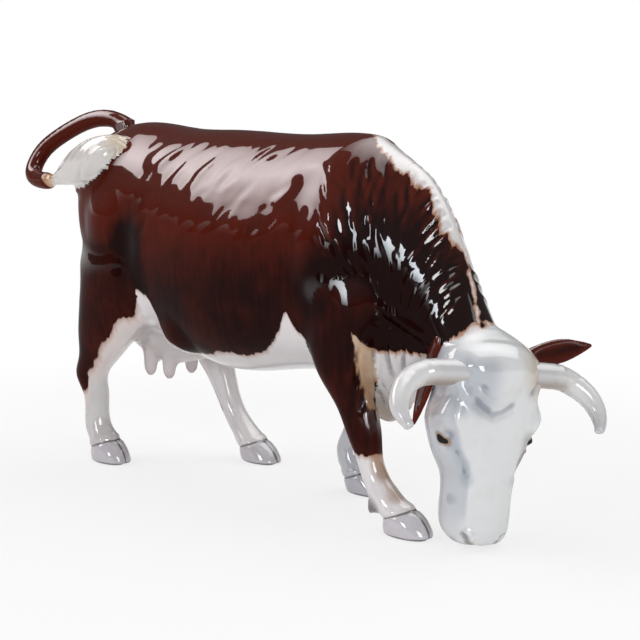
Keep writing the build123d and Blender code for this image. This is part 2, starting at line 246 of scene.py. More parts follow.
@dataclass
class Clay:
    """Clay as a distance field on a grid, pressed from CAD nodes, in millimetres."""
    pitch: float = 1.2
    reach: float = 9.0
    tight_fillet: float = 1.0
    wide_fillet: float = 6.0
    vent: Point = (-26.8, 5.7, 55.8)
    vent_plug: float = 2.4
    low: Array = field(default_factory=lambda: np.zeros(3, int))
    body: Array = field(default_factory=lambda: np.zeros((0, 0, 0)))
    owner: Array = field(default_factory=lambda: np.zeros((0, 0, 0)))

    def press(self, pieces: Sequence[Piece]) -> None:
        """Presses the pieces' CAD nodes together.

        Args:
            pieces: which pieces.
        """
        meshes = {PIECES.index(p): self._corners(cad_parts[p.value]) for p in pieces}
        room = int(math.ceil((self.reach + 3.0) / self.pitch)) + 1
        every = np.concatenate([points for points, _ in meshes.values()])
        self.low = np.floor(every.min(axis=0) / self.pitch).astype(int) - room
        high = np.ceil(every.max(axis=0) / self.pitch).astype(int) + room
        self.body = np.full(high - self.low, self.reach, np.float32)
        self.owner = np.full(high - self.low, next(iter(meshes)), np.int8)
        for index, (points, triangles) in meshes.items():
            local = np.zeros(self.body.shape, np.float32)
            grid = self._measure(points, triangles, None)
            grid.copyToArray(local, ijk=tuple(int(v) for v in self.low))
            nearer = local < self.body
            self.body = np.where(nearer, local, self.body)
            self.owner = np.where(nearer, index, self.owner)

    def fill(self) -> None:
        """Fills the seams, the creases and the inside."""
        gap = np.linalg.norm(self._places() - np.array(self.vent), axis=-1) - self.vent_plug
        self.body = np.minimum(self.body, gap).astype(np.float32)
        tight = self._closed(self.body, self.tight_fillet)
        wide = self._closed(tight, self.wide_fillet)
        share = self._fillet_share()
        self.body = tight * (1.0 - share) + wide * share

    def soften(self) -> None:
        """Smooths the field over the nearest places."""
        for axis in range(3):
            before, after = np.roll(self.body, 1, axis), np.roll(self.body, -1, axis)
            self.body = 0.25 * before + 0.5 * self.body + 0.25 * after

    def _corners(self, node: Any) -> Tuple[Array, Array]:
        """A node's points in millimetres, and its triangles."""
        mesh = node.data
        mesh.calc_loop_triangles()
        points = np.empty(len(mesh.vertices) * 3, np.float32)
        mesh.vertices.foreach_get("co", points)
        corners = np.empty(len(mesh.loop_triangles) * 3, np.int32)
        mesh.loop_triangles.foreach_get("vertices", corners)
        return points.reshape(-1, 3) * 1000.0, corners.reshape(-1, 3).astype(np.uint32)

    def _measure(self, points: Array, triangles: Optional[Array], quads: Optional[Array]) -> Any:
        """The distance field of a closed mesh."""
        band = self.reach / self.pitch
        return vdb.FloatGrid.createLevelSetFromPolygons(
            np.ascontiguousarray(points, np.float32), triangles=triangles, quads=quads,
            transform=vdb.createLinearTransform(self.pitch), exBandWidth=band, inBandWidth=band)

    def _places(self) -> Array:
        """The grid's places in millimetres."""
        axes = [(np.arange(n) + low) * self.pitch for n, low in zip(self.body.shape, self.low)]
        return np.stack(np.meshgrid(*axes, indexing="ij"), axis=-1).astype(np.float32)

    def _mesh(self, values: Array, level: float) -> Tuple[Array, Array]:
        """The largest closed surface of a field at one level, as points and quads."""
        grid = vdb.FloatGrid(self.reach)
        grid.transform = vdb.createLinearTransform(self.pitch)
        grid.copyFromArray(np.ascontiguousarray(values, np.float32), ijk=tuple(int(v) for v in self.low))
        points, quads = grid.convertToQuads(level)
        label = np.arange(len(points))
        while True:
            lowest = label[quads].min(axis=1)
            fresh = label.copy()
            np.minimum.at(fresh, quads.ravel(), np.repeat(lowest, 4))
            fresh = fresh[fresh]
            if np.array_equal(fresh, label):
                break
            label = fresh
        kept = label == np.bincount(label).argmax()
        renumber = np.cumsum(kept) - 1
        quads = quads[kept[quads[:, 0]]]
        return points[kept].astype(float), renumber[quads].astype(np.uint32)

    def _closed(self, values: Array, radius: float) -> Array:
        """The body with every crease filled by a ball of the radius, and its hollows filled."""
        points, quads = self._mesh(values, radius)
        grid = self._measure(points, None, quads)
        grown = np.zeros(self.body.shape, np.float32)
        grid.copyToArray(grown, ijk=tuple(int(v) for v in self.low))
        return grown + radius

    def _fillet_share(self) -> Array:
        """Where the wide fillet holds: round the trunk, and not on the hooves, teats, tail and head."""
        place = self._places()
        x, y, z = place[..., 0], place[..., 1], place[..., 2]
        share = ease(52.0, 68.0, z) * (1.0 - ease(84.0, 98.0, x))
        tail = ease(-72.0, -84.0, x) * (1.0 - ease(4.0, 12.0, y)) * ease(112.0, 124.0, z)
        return (share * (1.0 - tail)).astype(np.float32)

    def depth(self, points: Array) -> Array:
        """The field's distance at any points."""
        spot = points / self.pitch - self.low
        cell = np.clip(np.floor(spot).astype(int), 0, np.array(self.body.shape) - 2)
        share = spot - cell
        total = np.zeros(len(points))
        for i in range(2):
            for j in range(2):
                for k in range(2):
                    weight = np.ones(len(points))
                    for axis, side in enumerate((i, j, k)):
                        weight *= share[:, axis] if side else 1.0 - share[:, axis]
                    total += weight * self.body[cell[:, 0] + i, cell[:, 1] + j, cell[:, 2] + k]
        return total

    def skin(self, fine: Sequence[Piece] = (), fine_below: float = -1.0) -> Skin:
        """The smoothed outer surface, shared out among the pieces.

        Args:
            fine: pieces with faces of half the size.
            fine_below: the height in millimetres under which every face is so.

        Returns:
            The surface.
        """
        points, quads = self._mesh(self.body, 0.0)
        surface = Skin(points, quads.astype(int), np.zeros(len(points), int))
        a, b, c = (points[quads[:, i]] for i in range(3))
        if np.einsum("ij,ij->i", a, np.cross(b, c)).sum() < 0.0:
            surface.quads = surface.quads[:, ::-1]
        self._relax(surface, 3)
        cell = np.rint(surface.points / self.pitch).astype(int) - self.low
        surface.owner = self.owner[cell[:, 0], cell[:, 1], cell[:, 2]].astype(int)
        if fine:
            chosen = surface.of(*fine) | (surface.points[:, 2] < fine_below)
            surface.split(chosen[surface.quads].any(axis=1))
            self._relax(surface, 2)
        return surface

    def _relax(self, surface: Skin, times: int) -> None:
        """Evens the points out, and brings them back onto the clay."""
        for _ in range(times):
            surface.points += 0.5 * (surface.average(surface.points) - surface.points)
            surface.settle()
            surface.points -= surface.normals * self.depth(surface.points)[:, None]
        surface.settle()


@dataclass(frozen=True)
class Swell:
    """A soft rise of the clay, or a hollow where its lift is below 0."""
    centre: Point
    reach: float
    lift: float

    def lifts(self, places: Array) -> Array:
        """How far each place goes out."""
        apart = np.linalg.norm(places - np.array(self.centre), axis=1) / self.reach
        return self.lift * np.clip(1.0 - apart ** 2, 0.0, 1.0) ** 2


@dataclass(frozen=True)
class Furrow:
    """A groove drawn with a tool along a line, or a ridge where its lift is above 0."""
    path: Tuple[Tuple[float, ...], ...]
    width: float
    lift: float
    ends: float = 0.2

    def lifts(self, places: Array) -> Array:
        """How far each place goes out."""
        apart, share = along(places, self.path)
        run_out = ease(-0.001, self.ends, share) * ease(1.001, 1.0 - self.ends, share)
        return self.lift * np.exp(-(apart / self.width) ** 2) * run_out


@dataclass(frozen=True)
class Hair:
    """Short locks of hair on one side, drawn in a region of length and height, the same at each run."""
    region: Tuple[float, float, float, float]
    count: int
    length: Row
    width: Row
    lift: Row
    lean: Tuple[Row, ...]
    seed: int

    def lifts(self, length: Array, height: Array) -> Array:
        """How far each place goes out: each lock has one raised edge and one sunk edge.

        Args:
            length: the places' distance along the figure.
            height: their height.

        Returns:
            The lifts in millimetres.
        """
        draw = np.random.default_rng(self.seed)
        total = np.zeros(len(length))
        for _ in range(self.count):
            x, z = draw.uniform(*self.region[:2]), draw.uniform(*self.region[2:])
            half, wide = draw.uniform(*self.length) / 2.0, draw.uniform(*self.width)
            lift = draw.uniform(*self.lift)
            lean = float(read_off(self.lean, np.array([x]))[0]) + draw.normal(0.0, 0.12)
            way = np.array((lean, -1.0)) / math.hypot(lean, 1.0)
            near = (np.abs(length - x) < half + wide * 3.0) & (np.abs(height - z) < half + wide * 3.0)
            u = ((length[near] - x) * -way[1] + (height[near] - z) * way[0]) / wide
            v = ((length[near] - x) * way[0] + (height[near] - z) * way[1]) / half
            bow = np.clip(1.0 - v * v, 0.0, 1.0) ** 1.5
            total[near] += lift * 2.2 * (u + 0.35 * v) * np.exp(-(u + 0.35 * v) ** 2) * bow
        return total


@dataclass
class Marks:
    """What each point carries for the finish."""
    coat: Array
    colour_and_shade: Array
    line: Array
    eye: Array
    pool: Array
    hollow: Array
    fringe: Array
    thick: Array
    porcelain: ClassVar[Colour] = (0.80, 0.765, 0.765)
    numbers: ClassVar[Tuple[str, ...]] = ("coat", "line", "eye", "pool", "hollow", "fringe", "thick")
    thin_glaze: ClassVar[float] = 0.04
    white_glaze: ClassVar[float] = 0.8
    eye_glaze: ClassVar[float] = 0.15
    facing_up: ClassVar[Row] = (0.09, 0.27)
    plain_fringe: ClassVar[float] = 0.3
    far: ClassVar[float] = 9.0

    @classmethod
    def bare(cls, skin: Skin) -> "Marks":
        """Bare white porcelain."""
        count = len(skin.points)
        up = skin.normals[:, 2]
        for _ in range(16):
            up = skin.average(up)
        thick = cls.thin_glaze + (1.0 - cls.thin_glaze) * ease(*cls.facing_up, up)
        # The hollows carry glaze pooling and painted shade into the finish.
        return cls(np.full(count, -cls.far), np.tile(np.array(cls.porcelain), (count, 1)),
                   np.full(count, cls.far), np.full(count, cls.far), skin.hollows(), skin.hollows(),
                   np.full(count, cls.plain_fringe), thick)

    def tint(self, share: Array, colour: Colour) -> None:
        """Washes a thin colour over the white: the porcelain's own colours, or painted shade."""
        share = np.clip(share, 0.0, 1.0)[:, None]
        self.colour_and_shade = self.colour_and_shade * (1.0 - share) + np.array(colour) * share

    def seal(self) -> None:
        """Lays full clear glaze over the white, and little on the eyes."""
        self.thick = np.where(self.coat < -0.5, np.maximum(self.thick, self.white_glaze), self.thick)
        self.thick = np.where(self.eye < 1.1, self.eye_glaze, self.thick)

    def stroke(self, apart: Array) -> None:
        """Adds a painted line, by the distance from its edge."""
        self.line = np.minimum(self.line, apart)


class Sock:
    """A node's socket with the arithmetic of a plain number."""

    def __init__(self, paint: "Paint", socket: Any) -> None:
        """Keeps the socket and the tree that it is in."""
        self.paint = paint
        self.socket = socket

    def _math(self, operation: str, first: Any, second: Any) -> "Sock":
        """A Math node on two values."""
        return self.paint.add("ShaderNodeMath", {"operation": operation}, {0: first, 1: second})

    def __add__(self, other: Any) -> "Sock":
        """self + other."""
        return self._math("ADD", self, other)

    def __radd__(self, other: Any) -> "Sock":
        """other + self."""
        return self._math("ADD", other, self)

    def __sub__(self, other: Any) -> "Sock":
        """self - other."""
        return self._math("SUBTRACT", self, other)

    def __rsub__(self, other: Any) -> "Sock":
        """other - self."""
        return self._math("SUBTRACT", other, self)

    def __mul__(self, other: Any) -> "Sock":
        """self * other."""
        return self._math("MULTIPLY", self, other)

    def __rmul__(self, other: Any) -> "Sock":
        """other * self."""
        return self._math("MULTIPLY", other, self)


class Paint:
    """One material's nodes."""

    def __init__(self, name: str) -> None:
        """Makes an empty material.

        Args:
            name: the material's name.
        """
        self.material = bpy.data.materials.new(name)
        self.material.use_nodes = True
        self.tree = self.material.node_tree
        self.tree.nodes.clear()

    def add(self, kind: str, settings: Optional[Dict[str, Any]] = None,
            values: Optional[Dict[Union[str, int], Any]] = None, out: Union[str, int] = 0) -> Sock:
        """Adds one node.

        Args:
            kind: the node's type.
            settings: its own settings, set first.
            values: numbers, colours or sockets for its inputs, by name or place.
            out: the output that is wanted.

        Returns:
            That output.
        """
        node = self.tree.nodes.new(kind)
        for key, value in (settings or {}).items():
            setattr(node, key, value)
        for key, value in (values or {}).items():
            if isinstance(value, Sock):
                self.tree.links.new(value.socket, node.inputs[key])
            else:
                node.inputs[key].default_value = value
        return Sock(self, node.outputs[out] if len(node.outputs) else None)

    def read(self, name: str) -> Sock:
        """A number that the mesh carries at each point."""
        return self.add("ShaderNodeAttribute", {"attribute_name": name}, None, "Fac")

    def tint(self, name: str) -> Sock:
        """A colour that the mesh carries at each point."""
        return self.add("ShaderNodeAttribute", {"attribute_name": name}, None, "Color")

    def step(self, value: Sock, low: float, high: float) -> Sock:
        """A smooth step from 0 at low to 1 at high."""
        return self.add("ShaderNodeMapRange", {"interpolation_type": "SMOOTHSTEP"},
                        {"Value": value, "From Min": low, "From Max": high})

    def blend(self, share: Any, first: Any, second: Any, how: str = "MIX") -> Sock:
        """Two colours mixed."""
        return self.add("ShaderNodeMix", {"data_type": "RGBA", "blend_type": how},
                        {0: share, 6: first, 7: second}, 2)

    def place(self, stretch: Point) -> Sock:
        """The place on the figure, stretched along the axes."""
        spot = self.add("ShaderNodeTexCoord", None, None, "Object")
        return self.add("ShaderNodeVectorMath", {"operation": "MULTIPLY"}, {0: spot, 1: stretch})

    def noise(self, vector: Sock, scale: float, detail: float = 2.0) -> Sock:
        """Soft noise between 0 and 1."""
        return self.add("ShaderNodeTexNoise", {"noise_dimensions": "3D"},
                        {"Vector": vector, "Scale": scale, "Detail": detail})


def rgba(colour: Colour) -> Tuple[float, float, float, float]:
    """A colour with full cover."""
    return (colour[0], colour[1], colour[2], 1.0)


@dataclass(frozen=True)
class Glaze:
    """A painted and glazed finish: brushed chestnut over washed porcelain, under clear glaze, with painted
    shade in the hollows and on the shaded parts.
    """
    name: str
    chestnut: Colour = (0.092, 0.0110, 0.0046)
    chestnut_dark_and_shade: Colour = (0.010, 0.0014, 0.0011)
    fringe: Colour = (0.40, 0.15, 0.045)
    hollow_glaze_and_shade: Colour = (0.36, 0.37, 0.44)
    brush_line: Colour = (0.045, 0.034, 0.030)
    eye_dark: Colour = (0.012, 0.010, 0.007)
    eye_rim: Colour = (0.36, 0.20, 0.10)
    roughness: float = 0.30
    gloss: float = 0.02
    clear: float = 1.85
    clear_roughness: float = 0.05
    ripple: float = 0.08

    def material(self) -> Any:
        """Builds the finish.

        Returns:
            The material.
        """
        paint = Paint(self.name)
        even = paint.place((1.0, 1.0, 1.0))
        pool = paint.read("pool")
        strands = paint.noise(paint.place((420.0, 160.0, 90.0)), 1.0, 3.0)
        cloud = paint.noise(even, 45.0, 3.0)
        fringe = paint.read("fringe")
        brushed = (strands - 0.5) * (fringe * 6.0 + 2.0)
        blotched = (cloud - 0.5) * (1.0 - fringe) * 8.0
        edge = paint.read("coat") + brushed + blotched
        # The chestnut darkens with random tone, with glaze pooling in hollows, and with painted shade where the
        # parts are marked darker.
        darker_and_shade = paint.step(cloud * 0.5 + strands * 0.3 + pool * 0.55, 0.30, 1.0)
        chestnut = paint.blend(darker_and_shade, rgba(self.chestnut), rgba(self.chestnut_dark_and_shade))
        # Painted shade with glaze pooling: the white is greyed blue in hollows and creases.
        pooled_glaze_and_shade = paint.step(paint.read("hollow") + (cloud - 0.5) * 0.5, 0.10, 0.8) * 0.7
        white = paint.blend(pooled_glaze_and_shade, paint.tint("colour_and_shade"), rgba(self.hollow_glaze_and_shade), "MULTIPLY")
        mist = paint.noise(even, 120.0, 2.0)
        white = paint.blend(paint.step(mist, 0.45, 0.80) * 0.12, white, rgba((0.62, 0.55, 0.52)), "MULTIPLY")
        edged = paint.blend(paint.step(edge, -2.2, -0.1) * (fringe * 0.6 + 0.25), white, rgba(self.fringe))
        colour = paint.blend(paint.step(edge, -0.3, 0.5), edged, chestnut)
        drawn = 1.0 - paint.step(paint.read("line") + (mist - 0.5) * 0.8, -0.15, 0.4)
        colour = paint.blend(drawn * 0.8, colour, rgba(self.brush_line))
        eye = paint.read("eye")
        colour = paint.blend((1.0 - paint.step(eye, 1.15, 1.75)) * 0.75, colour, rgba(self.eye_rim))
        colour = paint.blend(1.0 - paint.step(eye, 0.85, 1.05), colour, rgba(self.eye_dark))
        shine = paint.noise(even, 140.0, 2.0)
        waves = paint.noise(even, 160.0, 2.0)
        bump = paint.add("ShaderNodeBump", None, {"Strength": self.ripple, "Distance": 0.0006, "Height": waves})
        shader = paint.add("ShaderNodeBsdfPrincipled", None, {
            "Base Color": colour, "Roughness": shine * 0.1 + (self.roughness - 0.05),
            "Specular IOR Level": self.gloss, "Normal": bump, "Coat Weight": paint.read("thick"),
            "Coat Roughness": self.clear_roughness, "Coat IOR": self.clear})
        paint.add("ShaderNodeOutputMaterial", None, {"Surface": shader})
        return paint.material


@dataclass
class Casting:
    """A part of the figure that is shaped, painted and cut out of the skin."""
    slots: ClassVar[Dict[Piece, Finish]] = {}

    def shape(self, skin: Skin) -> None:
        """Works the clay of this part."""

    def paint(self, skin: Skin, marks: Marks) -> None:
        """Paints this part."""

    def dress(self, skin: Skin, marks: Marks, glazes: Dict[Finish, Any]) -> List[Any]:
        """Cuts this part's pieces out and glazes them.

        Args:
            skin: the skin that the pieces are cut from.
            marks: its paint.
            glazes: the finishes by slot.

        Returns:
            The pieces' objects.
        """
        return [self.cut(skin, piece, marks, glazes[slot], slot) for piece, slot in self.slots.items()]

    def cut(self, skin: Skin, piece: Piece, marks: Marks, glaze: Any, slot: Finish) -> Any:
        """Cuts one piece out of the skin, closes it inside the body, and hangs it in the frame.

        Args:
            skin: the skin.
            piece: which piece.
            marks: the skin's paint.
            glaze: the finish.
            slot: the finish's slot; not used.

        Returns:
            The piece's object.
        """
        faces = skin.quads[skin.owner[skin.quads].max(axis=1) == PIECES.index(piece)]
        used = np.unique(faces)
        place = np.full(len(skin.points), -1)
        place[used] = np.arange(len(used))
        faces = place[faces]
        corners = [[a, b, c] if c == d else [a, b, c, d] for a, b, c, d in faces.tolist()]
        ends = np.stack([faces, np.roll(faces, -1, axis=1)], axis=-1).reshape(-1, 2)
        caps, hubs = self.caps(ends[ends[:, 0] != ends[:, 1]], skin.points[used])
        points = np.concatenate([skin.points[used], hubs])
        normals = np.concatenate([skin.normals[used], np.tile((0.0, 0.0, 1.0), (len(hubs), 1))])
        mesh = bpy.data.meshes.new(piece.value + "_glazed")
        mesh.from_pydata((points * METRES).tolist(), [], corners + caps, shade_flat=False)
        mesh.normals_split_custom_set_from_vertices(normals.tolist())
        for name in marks.numbers:
            values = np.full(len(points), marks.far, np.float32)
            values[:len(used)] = getattr(marks, name)[used]
            mesh.attributes.new(name, "FLOAT", "POINT").data.foreach_set("value", values)
        washes = np.ones((len(points), 4), np.float32)
        washes[:len(used), :3] = marks.colour_and_shade[used]
        mesh.attributes.new("colour_and_shade", "FLOAT_COLOR", "POINT").data.foreach_set("color", washes.ravel())
        thing = bpy.data.objects.new(piece.value + "_glazed", mesh)
        bpy.context.scene.collection.objects.link(thing)
        mesh.materials.append(glaze)
        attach(thing, "root")
        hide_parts(piece.value)
        log.info("%s: %d faces", thing.name, len(mesh.polygons))
        return thing

    def caps(self, ends: Array, points: Array) -> Tuple[List[List[int]], Array]:
        """Faces that close a cut piece inside the body: a fan from each open edge loop's middle.

        Args:
            ends: both ends of each face's edges.
            points: the piece's points.

        Returns:
            The faces, and the fans' middles.
        """
        count = len(points)
        keys = ends[:, 0].astype(np.int64) * count + ends[:, 1]
        back = ends[:, 1].astype(np.int64) * count + ends[:, 0]
        step: Dict[int, List[int]] = {}
        for a, b in ends[~np.isin(keys, back)]:
            step.setdefault(int(a), []).append(int(b))
        faces: List[List[int]] = []
        middles: List[Array] = []
        while step:
            start = next(iter(step))
            loop = [start]
            while True:
                ahead = step[loop[-1]].pop()
                if not step[loop[-1]]:
                    del step[loop[-1]]
                if ahead == start or ahead not in step:
                    break
                loop.append(ahead)
            if len(loop) < 3:
                continue
            hub = count + len(middles)
            middles.append(points[loop].mean(axis=0))
            faces += [[loop[i], hub, loop[i - 1]] for i in range(len(loop))]
        return faces, np.array(middles).reshape(-1, 3)


@dataclass
class Torso(Casting):
    """The trunk and the neck, with the hair of the neck, the white crest, the dewlap and the belly."""
    slots: ClassVar[Dict[Piece, Finish]] = {Piece.TRUNK: Finish.CHESTNUT, Piece.NECK: Finish.CHESTNUT}
    muscles: Tuple[Any, ...] = (
        Furrow(((-60, -29, 126), (-66, -29, 112), (-68, -30, 98), (-64, -30, 86)), 6.5, -1.8, 0.5),
        Furrow(((43, -19, 150), (37, -27, 128), (34, -29, 106), (35, -28, 92)), 7.0, -1.3),
        Swell((-42, -19, 67), 15.0, 4.5),
        Swell((53, -26, 112), 22.0, 1.6),
        Swell((49, -28, 98), 9.0, 1.3),
        Swell((-48, -20, 150), 15.0, 1.3),
        Swell((-85, -24, 118), 18.0, 3.0),
        Swell((14, -32, 116), 16.0, 0.8),
        Furrow(((70, -19, 95), (77, -17, 90.7), (86, -15.4, 85.8), (100, -16, 80)), 2.6, 1.3),
        Furrow(((70, -18, 90), (77, -16, 86), (86, -15, 81), (98, -15, 76)), 2.4, -1.2),
    )
    mane: Furrow = Furrow(((64, 5.2, 158), (76, 4.4, 152), (88, 3.4, 141), (97, 2.2, 128.5), (105, 0.9, 116),
                           (113, -1.0, 102)), 8.0, 3.0, 0.35)
    neck_hair: Hair = Hair((48.0, 106.0, 88.0, 150.0), 150, (8.0, 16.0), (0.9, 1.7), (0.10, 0.28),
                           ((50, 0.45), (78, 0.35), (90, -0.35), (106, -0.55)), 11)
    flank_hair: Hair = Hair((-62.0, 46.0, 116.0, 157.0), 110, (8.0, 18.0), (1.8, 3.4), (0.06, 0.22),
                            ((-60, -0.7), (46, -0.7)), 5)
    folds: Hair = Hair((58.0, 84.0, 46.0, 76.0), 34, (14.0, 26.0), (0.9, 1.5), (0.35, 0.8),
                       ((58, -0.15), (84, -0.25)), 3)
    crest: Tuple[Row, ...] = ((50, 158.5), (60, 158.5), (66, 157), (80, 149), (92, 136), (100, 124), (108, 111),
                              (116, 97), (121, 85))
    crest_right: Tuple[Row, ...] = (
        (50, 6), (54, 3.5), (59.6, -0.8), (65, -1.6), (71.4, -3.1), (77.5, -1.6), (80.5, -2.7), (84.7, 0.4),
        (88.3, -2.2), (91.6, -2.6), (95.6, -3.7), (98.9, -2.1), (100.7, 0.8), (102.7, 2.3), (106, 0.6),
        (109, -0.8), (112.6, -4.3), (118, -6))
    crest_left: Tuple[Row, ...] = (
        (50, 6), (54, 9), (60, 12), (70, 14), (80, 13), (88, 10.5), (93.2, 8.1), (97.9, 6.4), (100.3, 6.4),
        (102.6, 5.9), (104, 4.6), (106, 3.0), (109, 1.6), (112.8, -2.4), (118, -4))
    belly: Tuple[Row, ...] = (
        (-57, 88), (-55.4, 87.9), (-52, 82.7), (-50.2, 75.1), (-44, 66), (-35, 60.5), (-18, 62), (-3.7, 65),
        (1.5, 63), (13, 66.8), (19.6, 70.9), (26.7, 77.7), (30.3, 83.4), (32.6, 87.1),
        (36, 80), (46, 72), (58, 74))
    throat: Tuple[Row, ...] = (
        (50, 74), (60, 77), (69.3, 75.8), (71.7, 71), (75, 70), (79.9, 73.7), (82.8, 74.5), (92, 70), (104, 62))
    rubs: int = 70
    thigh_rubs: int = 150
    poll_edge: float = 27.3
    blade_shine: Point = (49.3, -27.7, 97.8)
    underside_shade: Colour = (0.56, 0.54, 0.54)
    tan: Colour = (0.66, 0.50, 0.33)
    ochre: Colour = (0.33, 0.20, 0.09)

    def shape(self, skin: Skin) -> None:
        """Muscles, the hair of the neck and flanks, and the dewlap's folds."""
        mine = skin.of(Piece.TRUNK, Piece.NECK, Piece.HINDLEG_RIGHT, Piece.HINDLEG_LEFT,
                       Piece.FORELEG_RIGHT, Piece.FORELEG_LEFT)
        right = skin.points.copy()
        right[:, 1] = MIDDLE - np.abs(right[:, 1] - MIDDLE)
        x, z = skin.points[:, 0], skin.points[:, 2]
        thigh = ease(-108.0, -100.0, x) * ease(-48.0, -58.0, x) * ease(78.0, 90.0, z) * ease(134.0, 124.0, z)
        shoulder = ease(30.0, 38.0, x) * ease(78.0, 68.0, x) * ease(72.0, 84.0, z) * ease(128.0, 116.0, z)
        skin.smooth(np.maximum(thigh, shoulder) * mine, self.rubs)
        skin.smooth(thigh * mine, self.thigh_rubs)
        lifts = sum(stroke.lifts(right) for stroke in self.muscles) * mine
        lifts += self.mane.lifts(skin.points) * mine
        skin.push(lifts)
        x, z = skin.points[:, 0], skin.points[:, 2]
        aside = ease(0.15, 0.5, np.abs(skin.normals[:, 1]))
        neck = skin.of(Piece.NECK, Piece.TRUNK)
        lifts = self.neck_hair.lifts(x, z) * ease(40.0, 54.0, x) * ease(78.0, 88.0, z)
        lifts *= 1.0 + ease(80.0, 92.0, x)
        lifts += self.flank_hair.lifts(x, z) * ease(58.0, 48.0, x) * ease(106.0, 118.0, z)
        folds = self.folds.lifts(x, z) * ease(54.0, 60.0, x) * ease(82.0, 74.0, z)
        brisket = skin.of(Piece.FORELEG_RIGHT, Piece.FORELEG_LEFT) * ease(62.0, 66.0, x) * ease(46.0, 52.0, z)
        skin.push((lifts * neck + folds * np.maximum(neck, brisket)) * aside)

    def paint(self, skin: Skin, marks: Marks) -> None:
        """The chestnut coat with its white crest, belly, dewlap and poll, and painted shade on the coat and the
        belly.
        """
        mine = skin.of(Piece.TRUNK, Piece.NECK)
        x, y, z = skin.points[mine].T
        top = read_off(self.crest, x)
        crest = np.maximum.reduce([read_off(self.crest_right, x) - y, y - read_off(self.crest_left, x),
                                   52.0 - x, top - 24.0 - z])
        belly = np.where(x < -55.0, np.maximum(z - 88.0, x + 58.0 + (z - 88.0)), z - read_off(self.belly, x))
        throat = np.maximum(z - read_off(self.throat, x), 54.0 - x)
        poll = np.maximum(self.poll_edge - (0.75 * x - 0.66 * z), 70.0 - z)
        coat = np.minimum.reduce([crest, belly, throat, poll, np.full(len(x), 9.0)])
        marks.coat[mine] = np.maximum(coat, -9.0)
        marks.fringe[mine] = ease(6.0, 2.0, np.minimum.reduce([crest, throat, poll])) * 0.7 + 0.3
        # Painted shade: darker on the neck, in the groove between thigh and flank, towards the front and the
        # bottom, and painted light along the top of the back.
        torso_shade = 1.0 * ease(36.0, 4.0, np.hypot((x - 74.0) * 0.9, (z - 104.0) * 0.8))
        torso_shade += 0.8 * ease(16.0, 4.0, np.abs(x + 66.0 - (z - 105.0) * 0.12)) * ease(136.0, 112.0, z)
        torso_shade -= 0.5 * ease(148.0, 157.0, z)
        torso_shade += 0.35 * ease(40.0, 62.0, x) + 0.85 * ease(128.0, 92.0, z)
        marks.pool[mine] += torso_shade
        blade = Swell(self.blade_shine, 8.0, 0.5).lifts(skin.points[mine])
        marks.thick[mine] = np.maximum(marks.thick[mine], blade)
        share = np.zeros(len(skin.points))
        # Painted shade: the white of the belly greyed towards the bottom.
        share[mine] = ease(80.0, 64.0, z) * ease(50.0, 40.0, x)
        marks.tint(share * 0.6, self.underside_shade)
        share[mine] = ease(68.0, 61.0, x) * ease(50.0, 58.0, x) * ease(82.0, 74.0, z) * ease(40.0, 52.0, z)
        marks.tint(share * 0.75, self.tan)
        share[mine] = ease(58.0, 44.0, z) * ease(56.0, 62.0, x) * ease(80.0, 70.0, x)
        marks.tint(share * 0.7, self.ochre)


